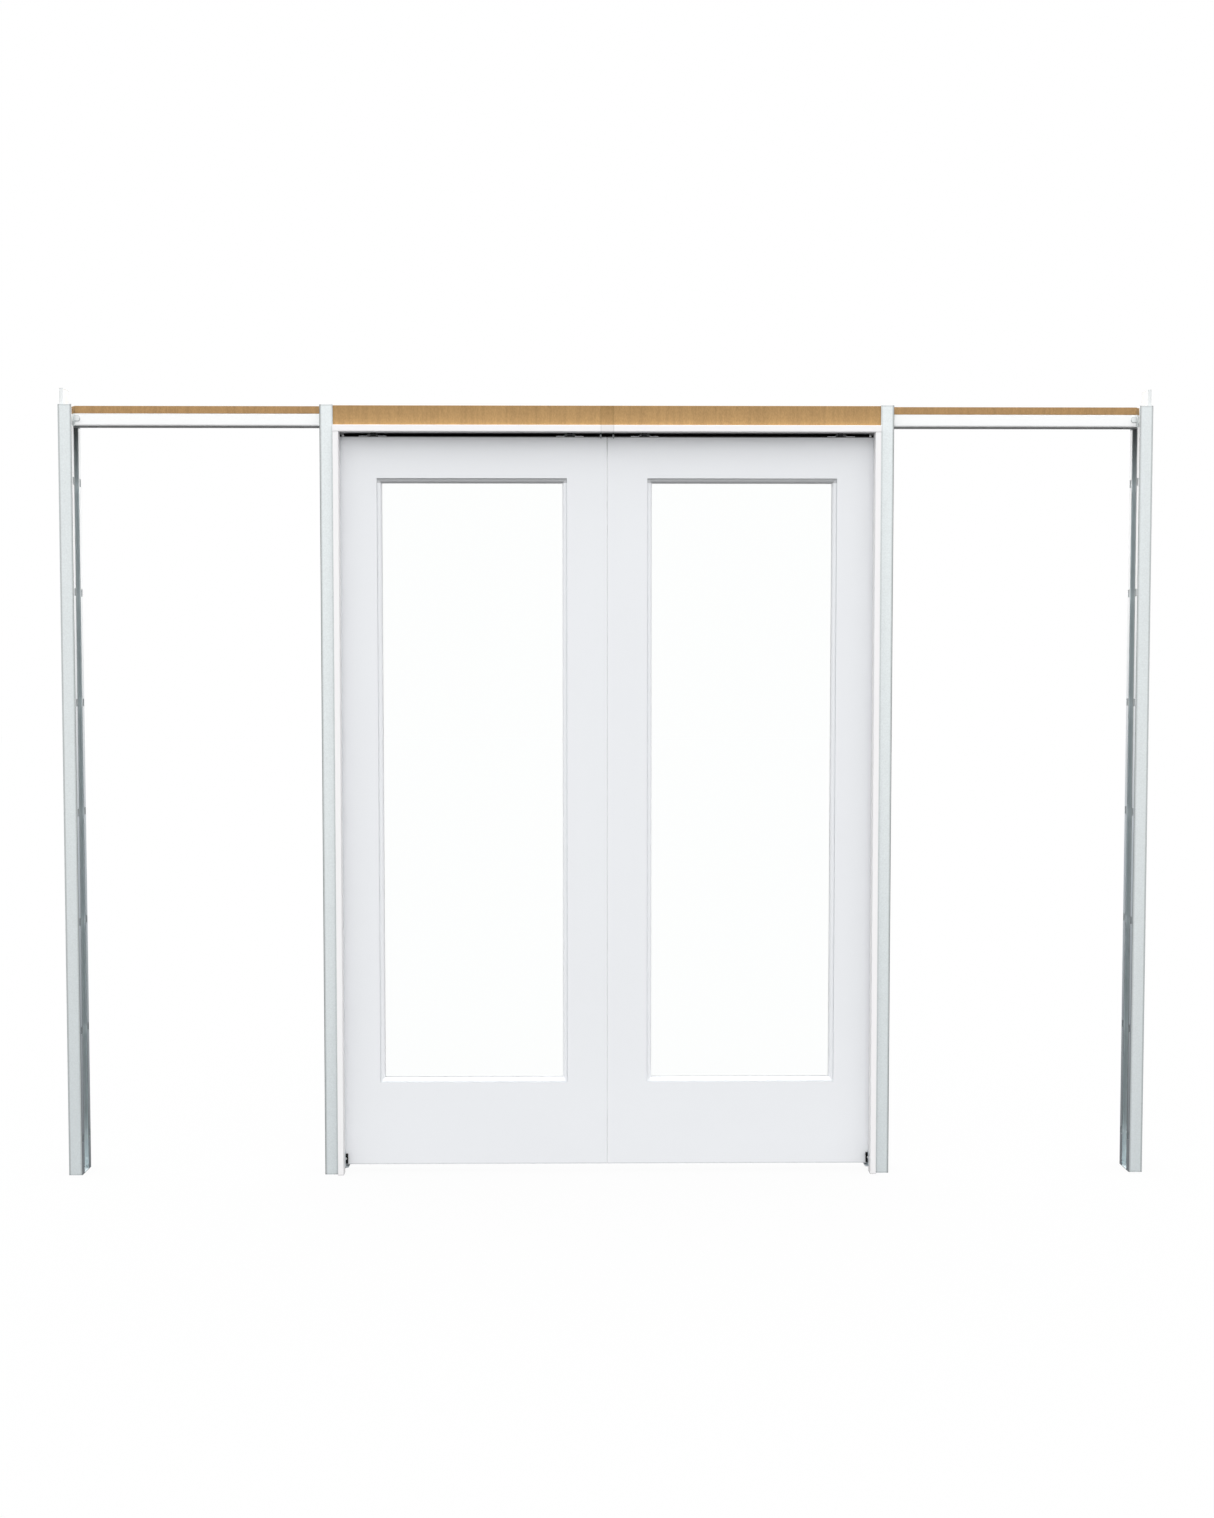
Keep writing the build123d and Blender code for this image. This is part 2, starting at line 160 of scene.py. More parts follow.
class Graph:
    """A node tree with one way to add a node."""

    def __init__(self, tree):
        self.tree = tree
        tree.nodes.clear()

    def node(self, kind, settings=None, sockets=None, output=0):
        """Add a node: its settings first, then its sockets' values or links. Returns one output."""
        made = self.tree.nodes.new(kind)
        for key, value in (settings or {}).items():
            if key == "stops":
                self.fill_ramp(made.color_ramp, value)
            else:
                setattr(made, key, value)
        for key, value in (sockets or {}).items():
            if isinstance(value, Wire):
                self.tree.links.new(value.socket, made.inputs[key])
            else:
                made.inputs[key].default_value = value
        return Wire(self, made.outputs[output] if made.outputs else None)

    @staticmethod
    def fill_ramp(ramp, stops):
        """Set a colour ramp from (place, colour) pairs."""
        while len(ramp.elements) < len(stops):
            ramp.elements.new(1)
        for element, (place, value) in zip(ramp.elements, stops):
            element.position = place
            element.color = (*value, 1)

    def blend(self, share, first, second):
        """A colour between two, by a share from 0 to 1. Mix nodes keep colours in sockets 6, 7 and 2."""
        ends = [end if isinstance(end, Wire) else (*end, 1) for end in (first, second)]
        sockets = {0: share, 6: ends[0], 7: ends[1]}
        return self.node("ShaderNodeMix", {"data_type": "RGBA"}, sockets, output=2)

    def ramp(self, share, stops):
        """A colour read from stops along 0 to 1."""
        return self.node("ShaderNodeValToRGB", {"stops": stops}, {0: share})

    def smooth(self, value, low, high):
        """0 below low, 1 above high and an even curve between."""
        return self.node("ShaderNodeMapRange", {"interpolation_type": "SMOOTHSTEP"},
                         {0: value, 1: low, 2: high})

    def parts(self, vector):
        """The three numbers of a vector."""
        split = self.node("ShaderNodeSeparateXYZ", sockets={0: vector}).socket.node
        return [Wire(self, output) for output in split.outputs]

    def scaled(self, tint, tone):
        """A colour made lighter or darker by a number."""
        grey = self.node("ShaderNodeCombineXYZ", sockets={0: tone, 1: tone, 2: tone})
        return self.node("ShaderNodeVectorMath", {"operation": "MULTIPLY"}, {0: tint, 1: grey})


class Finish(Graph):
    """A material with one Principled shader, whose inputs are set by name."""

    def __init__(self, name):
        self.material = bpy.data.materials.new(name)
        self.material.use_nodes = True
        super().__init__(self.material.node_tree)
        self.places = self.node("ShaderNodeTexCoord", output="Object")
        self.normals = self.node("ShaderNodeTexCoord", output="Normal")

    def noise(self, scale, stretch=(1, 1, 1), detail=3.0):
        """Cloudy noise from 0 to 1 with this many cells a metre, denser where stretch is more."""
        cells = tuple(scale * part for part in stretch)
        vector = self.node("ShaderNodeVectorMath", {"operation": "MULTIPLY"}, {0: self.places, 1: cells})
        return self.node("ShaderNodeTexNoise", sockets={"Vector": vector, "Scale": 1.0, "Detail": detail})

    def lines(self, scale, along, stretch, detail):
        """Fine lines along one axis: noise that is drawn out there."""
        return self.noise(scale, tuple(stretch if axis == along else 1 for axis in "XYZ"), detail)

    def downward(self, start, full):
        """How far a face looks down: 0 where its normal drops less than start, 1 past full."""
        return self.smooth(0 - self.parts(self.normals)[2], start, full)

    def bump(self, height, depth):
        """A bumped normal from a height of 0 to 1 times a depth."""
        return self.node("ShaderNodeBump", sockets={"Height": height, "Strength": 1.0, "Distance": depth})

    def done(self, sockets):
        """Add the shader with these inputs, wire it to the output and return the material."""
        shader = self.node("ShaderNodeBsdfPrincipled", sockets=sockets)
        self.node("ShaderNodeOutputMaterial", sockets={"Surface": shader})
        return self.material


# Settings
class PaintSettings(bpy.types.PropertyGroup):
    """Paints and the glass."""

    door: colour("Door", "Satin paint on the doors", srgb(237, 239, 242))
    jamb: colour("Jamb", "White primer on the jambs", srgb(247, 246, 247))
    splice: colour("Splice", "Duller primer on the short piece over the doors' joint", srgb(236, 235, 236))
    glass: colour("Glass", "Tint of the panes", (0.985, 0.995, 0.99))
    stipple_depth: length("Stipple depth", "Height of the roller's stipple", 0.00012)
    # Painted floor light at a door's foot, and how high it reaches
    floor_lift: amount("Floor lift", "Share of light that the floor adds at a door's foot", 0.035)
    lift_height: length("Lift height", "How far up a door the floor's light reaches", 0.5)
    # seam is also the width of the painted contact shadow along the feet of doors and jambs
    seam: length("Seam", "Width of the dull line where a board ends", 0.003)
    # Painted contact shadow along the feet of doors and jambs
    foot_shade: amount("Foot shade", "Share of light lost along the feet of doors and jambs", 0.2)
    # Painted shade on the side jambs' inner faces and, deep, where they face the gap over a door
    side_shade: amount("Side shade", "Share of light lost on the side jambs' inner faces", 0.14)
    side_top_shade: amount("Side top shade", "Share of light lost at the side jambs' tops", 0.12)
    gap_shade: amount("Gap shade", "Share of light lost where a side jamb faces the gap over a door", 0.95)
    # Painted shade on the upper bead of a pane
    head_shade: amount("Head shade", "Share of light lost on the upper bead of a pane", 0.36)
    # Painted shadow on the doors' top edges and arris, under the head jamb
    top_shade: amount("Top shade", "Share of light lost on the doors' top edges", 0.75)
    arris: length("Arris", "Height of the shaded arris along a door's top", 0.002)
    # Painted shade on a head jamb's underside and back edge
    under_shade: amount("Under shade", "Share of light lost at the back of a head jamb's underside", 0.15)
    back_shade: amount("Back shade", "Share of light lost on a head jamb's back edge", 0.2)
    joint_shade: amount("Joint shade", "Share of light lost on a head jamb beside its splice", 0.06)
    splice_shade: amount("Splice shade", "Share of light lost at the ends of a head jamb's splice", 0.1)
    # Painted shade under the head where the doors meet
    meet_shade: amount("Meeting shade", "Share of light lost under the head where the doors meet", 0.4)
    meet_width: length("Meeting width", "Half width of the dull line where the doors meet", 0.002)
    meet_height: length("Meeting height", "How far below the doors' tops that line fades away", 0.07)
    bead: length("Bead", "Width of the glazing beads", 0.0126)


class SteelSettings(bpy.types.PropertyGroup):
    """Sheet steel and small metal parts."""

    # Zinc colour with painted light: paler high up, darker near the floor
    zinc_lit_top: colour("Post top", "Zinc coat high on a post", srgb(233, 239, 240))
    zinc_lit_middle: colour("Post middle", "Zinc coat halfway up a post", srgb(227, 233, 234))
    zinc_shaded_foot: colour("Post foot", "Zinc coat near the floor", srgb(210, 217, 219))
    outer_share: amount("Outer post", "Share of light kept by the duller outer posts", 0.935)
    # Painted shade on a post's edge strips, beside a jamb and along the bend by the pocket
    edge_shade: amount("Edge shade", "Share of light lost on the rolled strips along a post's edges", 0.34)
    edge_width: length("Edge width", "Width of the rolled strips along a post's edges", 0.0065)
    jamb_shade: amount("Jamb shade", "Share of light lost on a post's strip beside a jamb", 0.15)
    bend_shade: amount("Bend shade", "Share of light lost along the bend that faces the pocket", 0.45)
    bend_width: length("Bend width", "Width of the dull line along a bend", 0.0018)
    rim_shade: amount("Rim shade", "Share of light lost at a post's cut ends", 0.14)
    rim_height: length("Rim height", "Height of the dull line at a post's cut ends", 0.004)
    # Zinc lips with a painted reflection: dark near the floor, white high up
    lip_top_reflection: colour("Lip top", "Bright lip high on an outer post", srgb(254, 255, 255))
    lip_middle_reflection: colour("Lip middle", "Lip of an outer post at hand height", srgb(168, 177, 183))
    lip_foot_reflection: colour("Lip foot", "Dull lip near the floor", srgb(82, 89, 95))
    lip_depth: length("Lip depth", "How far into an outer post its lips' colour goes", 0.0013)
    # Painted shade along the front lip's inner edge
    front_lip_shade: amount("Hem shade", "Share of light lost on the front lip's hem", 0.6)
    front_lip_shade_reach: length("Hem reach", "Distance of the hem's edge from the middle of the mouth", 0.0272)
    # Painted light and shade on the walls seen through the lips' slots: dark near the floor, light high up
    slot_foot_shade: colour("Slot foot", "What shows through the lips' slots near the floor", srgb(143, 148, 151))
    slot_top_light: colour("Slot top", "What shows through the lips' slots high up", srgb(250, 252, 252))
    slot_near: length("Slot near", "Depth up to which a wall shows through the lips' slots alone", 0.004)
    slot_far: length("Slot far", "Depth from which a wall shows through the lips' slots alone", 0.0195)
    inside: colour("Inside", "Dull zinc inside an outer post", srgb(203, 211, 213))
    skin: length("Skin", "How deep under a post's outer faces its inside starts", 0.0006)
    # Painted light on an outer post's inside, through its mouth and from the floor
    gleam: amount("Gleam", "Share of light gained where it falls through an outer post's mouth", 0.45)
    gleam_start: length("Gleam start", "Depth at which that light meets a wall", 0.0045)
    gleam_fade: length("Gleam fade", "Depth at which that light starts to fade", 0.0085)
    gleam_end: length("Gleam end", "Depth at which that light has faded", 0.0098)
    gleam_rise: amount("Gleam rise", "Share of a post's height over which the floor lights its inside", 0.08)
    track: colour("Track", "Pale zinc on the track", srgb(252, 253, 253))
    # Painted shade on the track's underside
    track_under_shade: colour("Track underside", "Oiled underside of the track", srgb(60, 62, 62))
    bracket: colour("Bracket", "Zinc on the header brackets", srgb(252, 255, 255))
    # Painted shadow round the brackets' tongues, and painted shade on their flanges and ends
    bracket_shade: colour("Bracket edge", "Edges and folds of the header brackets", srgb(112, 119, 121))
    tongue_length: length("Tongue length", "Length of a bracket's tongue on the track", 0.014)
    tongue_height: length("Tongue height", "Height of a bracket's tongue", 0.016)
    tongue_drop: length("Tongue drop", "Distance of a tongue below the track's top", 0.006)
    tongue_radius: length("Tongue radius", "Radius of a tongue's round corners", 0.006)
    outline: length("Outline", "Width of the dull lines along a bracket's edges", 0.0022)
    flange_shade: amount("Flange shade", "Share of the edge colour on a bracket's flanges", 0.17)
    fold_shade: amount("Fold shade", "Share of the edge colour on a tongue's fold and rim", 0.3)
    lower_shade: amount("Lower shade", "More of the edge colour on the lower half of a tongue's rim", 0.5)
    end_shade: amount("End shade", "Share of the edge colour at a bracket's ends and a track's nose", 0.12)
    plate: colour("Plate", "Pale zinc of the hanger plates", srgb(224, 227, 229))
    arch: colour("Arch", "Dull arch of a hanger plate and its bolt", srgb(40, 43, 45))
    zinc: colour("Zinc", "Plated axles and screws", srgb(160, 166, 169))
    clip: colour("Clip", "Dull head clips", srgb(132, 138, 140))
    guide: colour("Guide", "Dull floor guides", srgb(190, 198, 202))


class TimberSettings(bpy.types.PropertyGroup):
    """Header timber."""

    top: colour("Top", "Timber along the header's top edge", srgb(175, 140, 94))
    foot: colour("Foot", "Timber along the header's lower edge", srgb(188, 151, 101))
    plank: colour("Plank", "Plank over the pockets", srgb(178, 142, 97))
    splice: colour("Splice", "Short piece over the doors' joint", srgb(162, 129, 84))
    clear: amount("Clear wood", "Light of the wood between its streaks", 1.25)
    streak: amount("Streak", "Share of light that a dark streak takes away", 0.3)
    joint: length("Joint", "Half width of the dark line at a corner or joint", 0.0013)
    joint_shade: amount("Joint shade", "Share of light lost on that line", 0.2)
    end_shade: amount("End shade", "Share of light lost past that line", 0.16)


class SmallPartSettings(bpy.types.PropertyGroup):
    """Moulded parts."""

    pad: colour("Pad", "Black nylon of the floor guides", srgb(4, 4, 5))
    wheel: colour("Wheel", "Natural nylon of the wheels", srgb(222, 220, 212))
    trolley: colour("Trolley", "Dark moulding of the trolleys", srgb(62, 63, 66))
    rubber: colour("Rubber", "Grey rubber of the bumpers", srgb(96, 97, 98))
    # The black brush strip stands in for the deep shade in the slot over the doors
    brush: colour("Brush", "Black pile of the brush strip over the doors", srgb(9, 9, 9))
    brush_deep: length("Brush depth", "How far the brush strip stands off the rear head jamb", 0.0062)
    brush_drop: length("Brush drop", "How far the pile hangs below the head jamb", 0.0065)
    brush_rise: length("Brush rise", "How far the strip goes up the head jamb", 0.0035)
    brush_pitch: length("Brush pitch", "Length of one tuft of the pile", 0.004)


class FixingSettings(bpy.types.PropertyGroup):
    """Screws that show."""

    plate_radius: length("Plate screw", "Head radius of the screws in the hanger plates", 0.0042)
    plate_inset: length("Plate inset", "Distance of a plate's screws from its ends", 0.008)
    plate_sheet: length("Plate sheet", "Thickness of a hanger plate", 0.002)
    guide_radius: length("Guide screw", "Head radius of the screws in the floor guides", 0.0038)
    pad_depth: length("Pad depth", "Depth of a floor guide's pad", 0.0085)
    track_radius: length("Track screw", "Head radius of the screws inside the track", 0.004)
    track_sheet: length("Track sheet", "Thickness of the track's steel", 0.0016)
    track_margin: length("Track margin", "Distance of a track's end screws from its ends", 0.06)
    track_count: IntProperty(name="Track screws", description="Screws in each half of the track", default=8)


class StageSettings(bpy.types.PropertyGroup):
    """Camera, light and floor."""

    camera: FloatVectorProperty(name="Camera", description="Where the camera stands", subtype="TRANSLATION",
                                unit="LENGTH", default=(-0.0564, -5.0515, 1.4207))
    pitch: FloatProperty(name="Pitch", description="How far the camera looks down", subtype="ANGLE",
                         default=0.0512)
    yaw: FloatProperty(name="Yaw", description="How far the camera turns to the right", subtype="ANGLE",
                       default=0.0111)
    focal: amount("Focal length", "Lens for a 36 mm long side, in millimetres", 42.91)
    horizon: amount("Horizon", "Light of the studio's dome at the horizon", 0.9)
    zenith: amount("Zenith", "Light of the studio's dome overhead", 2.9)
    bounce: amount("Bounce", "Share of light that the floor gives back", 0.1)
    shadow: amount("Shadow", "Share of the floor's look that its shadow keeps", 0.05)
    floor: length("Floor", "Side of the floor", 60)


# Finishes
def roller_paint(name, paint, depth, grain, gloss, foot, dull):
    """White paint laid on with a roller: stipple and a drift of tone, paler near the foot by painted floor
    light and darker where dull gives painted shade.
    """
    finish = Finish(name)
    stipple = finish.noise(grain, detail=2.0)
    drift = finish.noise(5.0, detail=2.0)
    x, _, z = finish.parts(finish.places)
    # Painted floor light: the paint is made paler towards a door's foot
    lift = paint.floor_lift * (1 - finish.smooth(z, foot, foot + paint.lift_height))
    tint = finish.blend(0.7 * drift + 0.3 * stipple, dimmed(paint.door, CLOUD), paint.door)
    return finish.done({
        "Base Color": finish.scaled(tint, (1 + lift) * (1 - dull(finish, x, z))),
        "Roughness": gloss + 0.12 * stipple,
        "Normal": finish.bump(stipple, depth),
    })


def brushed_primer(name, white, along, dull):
    """Primer brushed along a board, with fine bristle lines, darkened where dull gives painted shade and
    dark joint lines.
    """
    finish = Finish(name)
    lines = finish.lines(900.0, along, stretch=0.012, detail=4.0)
    drift = finish.noise(7.0)
    tint = finish.blend(0.5 * drift + 0.5 * lines, dimmed(white, CLOUD), white)
    return finish.done({
        "Base Color": finish.scaled(tint, 1 - dull(finish, *finish.parts(finish.places))),
        "Roughness": 0.45 + 0.2 * lines,
        "Normal": finish.bump(lines, depth=0.00008),
    })


def clear_glass(tint):
    """Float glass, a little less clear where it was wiped."""
    finish = Finish("clear_glass")
    wipes = finish.noise(9.0, (1, 1, 0.3), detail=4.0)
    return finish.done({
        "Base Color": (*tint, 1),
        "Roughness": 0.03 * finish.smooth(wipes, 0.45, 0.75),
        "Transmission Weight": 1.0,
        "IOR": 1.45,
    })


def zinc_tone(finish):
    """Mottled spangle of a zinc coat, about 1, from clouds, crystals and grain; and its crystals."""
    clouds = finish.noise(45.0, detail=3.0)
    crystals = finish.noise(230.0, detail=2.0)
    grain = finish.noise(600.0, detail=2.0)
    return 0.78 + 0.06 * clouds + 0.2 * crystals + 0.18 * grain, crystals


def lipped(finish, steel, tint, node):
    """Colour of an outer post with its lips, with a painted reflection, dark near the floor and white high
    up, and painted shade along the front lip's inner edge.
    """
    inner, top = reach(node)[0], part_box(node)[1].z
    x, y, z = finish.parts(finish.places)
    front = abs(finish.parts(finish.normals)[1])
    lip = (abs(x) < inner + steel.lip_depth) * (front < 0.5)
    # Painted shade along the front lip's inner edge
    hem = steel.front_lip_shade * (y < 0) * (abs(y) < steel.front_lip_shade_reach)
    # Painted reflection on the lips, by height
    tints = finish.ramp(z / top, [(0.0, steel.lip_foot_reflection), (0.42, steel.lip_middle_reflection), (0.78, steel.lip_top_reflection)])
    return finish.blend(lip, tint, finish.scaled(tints, 1 - hem))


def hollow(finish, steel, tint, tone, node):
    """Colour of an outer post with its inside: painted shade that darkens the rear wall to the top, painted
    light from the mouth and the floor, and painted light and shade on the walls seen through the lips'
    slots.
    """
    (inner, outer), high = reach(node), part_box(node)[1]
    x, y, z = finish.parts(finish.places)
    front = abs(finish.parts(finish.normals)[1])
    height, deep = z / high.z, abs(x) - inner
    # Painted shade: the rear wall darkens towards the top
    dusk = [(0.0, 1.0), (0.9, 1.0), (0.955, 0.45), (0.975, 0.1)]
    rear = finish.ramp(height, [(place, dimmed(steel.inside, kept)) for place, kept in dusk])
    walls = finish.blend(y > 0, steel.inside, rear)
    # Painted light through the mouth and, low down, from the floor
    mouth = (deep > steel.gleam_start) * (1 - finish.smooth(deep, steel.gleam_fade, steel.gleam_end))
    level = 1 + steel.gleam * (1 - (1 - mouth) * finish.smooth(height, 0.0, steel.gleam_rise))
    walls = finish.scaled(walls, level * (0.7 + 0.3 * tone))
    # Painted light and shade by height on the walls seen through the slots
    slots = finish.ramp(height, [(0.15, steel.slot_foot_shade), (0.92, steel.slot_top_light)])
    behind = ((deep < steel.slot_near) + (deep > steel.slot_far)) * (front > 0.5)
    inside = (deep > steel.skin) * (abs(x) < outer - steel.skin) * (abs(y) < high.y - steel.skin)
    return finish.blend(inside, tint, finish.blend(behind, walls, slots))


def post_steel(name, steel, node, share):
    """Galvanised post with painted light, paler high up; painted shade along its edge strips and the bend by
    the pocket; darker at its cut ends; and, if it is an outer one, open.
    """
    (inner, outer), top = reach(node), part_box(node)[1].z
    middle, half = (inner + outer) / 2, (outer - inner) / 2
    is_open = node.startswith("outer")
    pocket = inner if is_open else outer
    finish = Finish(name)
    x, _, z = finish.parts(finish.places)
    along = abs(x)
    front = abs(finish.parts(finish.normals)[1])
    tone, crystals = zinc_tone(finish)
    # Zinc with painted light by height
    face = finish.ramp(z / top, [(0.0, steel.zinc_shaded_foot), (0.5, steel.zinc_lit_middle), (1.0, steel.zinc_lit_top)])
    # Painted shade along the edge strips and the bend by the pocket
    strip = finish.smooth(abs(along - middle), half - steel.edge_width, half - 0.6 * steel.edge_width)
    bend = abs(along - pocket) < steel.bend_width
    inner_shade = 0.75 * steel.edge_shade if is_open else steel.jamb_shade
    shade = steel.edge_shade * (along > middle) + inner_shade * (along < middle)
    edge = (shade * strip + steel.bend_shade * bend * (front > 0.5)) * (front > 0.1)
    rim = (z > top - steel.rim_height) + (z < steel.rim_height)
    tint = finish.scaled(face, tone * share * (1 - edge) * (1 - steel.rim_shade * rim))
    if is_open:
        tint = hollow(finish, steel, lipped(finish, steel, tint, node), tone, node)
    return finish.done({
        "Base Color": tint,
        "Metallic": 0.2,
        "Roughness": 0.42 + 0.2 * crystals,
        "Normal": finish.bump(crystals, depth=0.00006),
    })


def sheet_steel(name, tint, along, metal, rough, spangle=1.0, second_tint=None):
    """Rolled steel with drawing lines along one axis; second_tint gives a darker colour and where it goes:
    painted shade on the track and brackets, and a dark arch on the hanger plates.
    """
    finish = Finish(name)
    lines = finish.lines(700.0, along, stretch=0.01, detail=3.0)
    tone, crystals = zinc_tone(finish)
    base = finish.blend(lines, dimmed(tint, CLOUD), tint)
    if second_tint:
        dark_tint, where = second_tint
        base = finish.blend(where(finish), base, dark_tint)
    return finish.done({
        "Base Color": finish.scaled(base, 1 - spangle * (1 - tone)),
        "Metallic": metal,
        "Roughness": rough + 0.12 * lines + 0.08 * crystals,
        "Normal": finish.bump(lines, depth=0.00004),
    })


def track_shade(steel, corner):
    """Where shade is painted on the track: on its underside and in a faint line along the fold at the corner
    of its nose.
    """
    def share(finish):
        line = abs(abs(finish.parts(finish.places)[0]) - corner) < 0.5 * steel.outline
        return finish.downward(0.85, 0.995) + steel.end_shade * line
    return share


def bracket_painted_shade(steel, node, track):
    """Where shade is painted on a header bracket: a shadow round its tongues and along their folds, on its
    flanges, and lines at the anchor's ends.
    """
    low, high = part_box(node)
    face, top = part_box(track)[1].y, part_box(track)[1].z
    radius, half = steel.tongue_radius, steel.tongue_height / 2
    middle = top - steel.tongue_drop - half

    def share(finish):
        x, y, z = finish.parts(finish.places)
        along = abs(x)
        tongue = (abs(y) > face - TOLERANCE) * (along < low.x + steel.tongue_length + steel.outline)
        flange = finish.smooth(abs(finish.parts(finish.normals)[1]), 0.65, 0.9)
        inset = low.x + radius - along
        rise = abs(z - middle) - (half - radius)
        inset, rise = [part.math("MAXIMUM", part, 0.0) for part in (inset, rise)]
        corner = inset * inset + rise * rise
        rim = finish.smooth(corner.math("SQRT", corner), radius - steel.outline, radius)
        fold = abs(along - (low.x + steel.tongue_length)) < 0.4 * steel.outline
        ends = (z > high.z - steel.outline) + (along > high.x - steel.outline)
        rim_shade = steel.fold_shade + steel.lower_shade * (z < middle)
        lines = tongue * (rim_shade * rim + steel.fold_shade * fold) + steel.end_shade * (1 - tongue) * ends
        return steel.flange_shade * flange + lines
    return share


def timber(name, wood, low_tint, high_tint, node, seam):
    """Planed softwood: streaks that run up its faces and along its top, over a slow change of tone."""
    low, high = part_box(node)
    finish = Finish(name)
    x, _, z = finish.parts(finish.places)
    flat = abs(finish.parts(finish.normals)[2]) > 0.5
    across, along = 110, 7
    upright = finish.noise(1.0, (across, across, along), detail=4.0)
    lying = finish.noise(1.0, (along, across, across), detail=4.0)
    fibres = finish.noise(1.0, (400, 400, 170), detail=2.0)
    bands = finish.noise(1.0, (22, 22, 2), detail=2.0)
    streaks = upright * (1 - flat) + lying * flat
    dark = 0.5 * finish.smooth(streaks, 0.3, 0.8) + 0.15 * finish.smooth(bands, 0.4, 0.7) + 1.5 * fibres
    tint = finish.blend((z - low.z) / (high.z - low.z), low_tint, high_tint)
    ends = wood.joint_shade * (abs(abs(x) - seam) < wood.joint) + wood.end_shade * (abs(x) > seam)
    return finish.done({
        "Base Color": finish.scaled(tint, (wood.clear - wood.streak * dark) * (1 - ends)),
        "Roughness": 0.6 + 0.2 * fibres,
        "Specular IOR Level": 0.2,
        "Normal": finish.bump(streaks + 0.5 * fibres, depth=0.00025),
    })


def moulded(name, tint, grain, depth, rough):
    """Moulded nylon, rubber or pile with a fine texture."""
    finish = Finish(name)
    spark = finish.noise(grain, detail=3.0)
    drift = finish.noise(30.0)
    return finish.done({
        "Base Color": finish.blend(0.6 * drift + 0.4 * spark, dimmed(tint, 0.8), tint),
        "Roughness": rough + 0.2 * spark,
        "Specular IOR Level": 0.12,
        "Normal": finish.bump(spark, depth),
    })


# Small pieces
def add_piece(name, mesh, material, body):
    """Finish a mesh as one piece that rides on a body."""
    bmesh.ops.recalc_face_normals(mesh, faces=mesh.faces)
    data = bpy.data.meshes.new(name)
    mesh.to_mesh(data)
    mesh.free()
    data.materials.append(material)
    piece = bpy.data.objects.new(name, data)
    bpy.context.scene.collection.objects.link(piece)
    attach(piece, body)


def skin(mesh, loops):
    """Close a row of loops of points into a solid: sides between neighbours and a cap at each end."""
    rings = [[mesh.verts.new(point) for point in loop] for loop in loops]
    mesh.faces.new(rings[0])
    mesh.faces.new(list(reversed(rings[-1])))
    for upper, lower in zip(rings, rings[1:]):
        for number in range(len(upper)):
            after = (number + 1) % len(upper)
            mesh.faces.new((upper[number], lower[number], lower[after], upper[after]))


def cross_outline(arm, half_width):
    """Points round a cross recess, with a point halfway along each of its sides."""
    quarter = [Vector(point) for point in ((arm, -half_width), (arm, half_width), (half_width, half_width))]
    turns = [Matrix.Rotation(number * math.pi / 2, 2) for number in range(4)]
    corners = [turn @ point for turn in turns for point in quarter]
    following = corners[1:] + corners[:1]
    return [point for first, second in zip(corners, following) for point in (first, (first + second) / 2)]


def add_screws(name, seats, radius, body, material):
    """Pan heads with a cross recess. A seat is a place and the axis along which its head stands."""
    arm_share, width_share, floor_share, taper_share, height_share = 0.5, 0.12, 0.45, 0.75, 0.6
    dome_shares = [(0.66, 0.97), (0.84, 0.8), (0.96, 0.5), (1.0, 0.2), (1.0, 0.0)]
    height = height_share * radius
    cross = cross_outline(arm_share * radius, width_share * radius)
    angles = [2 * math.pi * (number - 1) / len(cross) for number in range(len(cross))]
    loops = [[Vector((*(taper_share * point), floor_share * height)) for point in cross],
             [Vector((*point, height)) for point in cross]]
    loops += [[Vector((wide * radius * math.cos(angle), wide * radius * math.sin(angle), tall * height))
               for angle in angles] for wide, tall in dome_shares]
    mesh = bmesh.new()
    for place, axis in seats:
        turn = Vector((0, 0, 1)).rotation_difference(Vector(axis)).to_matrix()
        skin(mesh, [[Vector(place) + turn @ point for point in loop] for loop in loops])
    add_piece(name, mesh, material, body)


def add_shade_brush(name, spans, back, seat, small, material):
    """Black brush strip on a head jamb's inner face, which stands in for the deep shade in the slot over the
    doors: a folded carrier and a pile with an uneven lower edge.
    """
    pile_back_share, carrier_share, ragged_share = 0.35, 0.55, 0.07
    fold, shoulder, rounding = 0.002, 0.003, 0.001
    drop_waves, lean_wave = (7.1, 3.3), 5.7
    front, pile_back = back - small.brush_deep, back - pile_back_share * small.brush_deep
    carrier_front = back - carrier_share * small.brush_deep
    top, low = seat + small.brush_rise, seat - small.brush_drop
    mesh = bmesh.new()
    for start, end in spans:
        count = max(2, round((end - start) / small.brush_pitch))
        loops = []
        for number in range(count + 1):
            along = start + (end - start) * number / count
            ragged = ragged_share * small.brush_drop * sum(math.sin(wave * number) for wave in drop_waves)
            lean = ragged_share * small.brush_deep * math.sin(lean_wave * number)
            loops.append([Vector((along, *point)) for point in (
                (back, seat), (back, top), (carrier_front, top), (carrier_front, top - fold),
                (front + lean / 2, top - shoulder), (front, seat), (front + lean + rounding, low + ragged),
                (pile_back, low + ragged + rounding), (pile_back, seat))])
        skin(mesh, loops)
    add_piece(name, mesh, material, "frame")


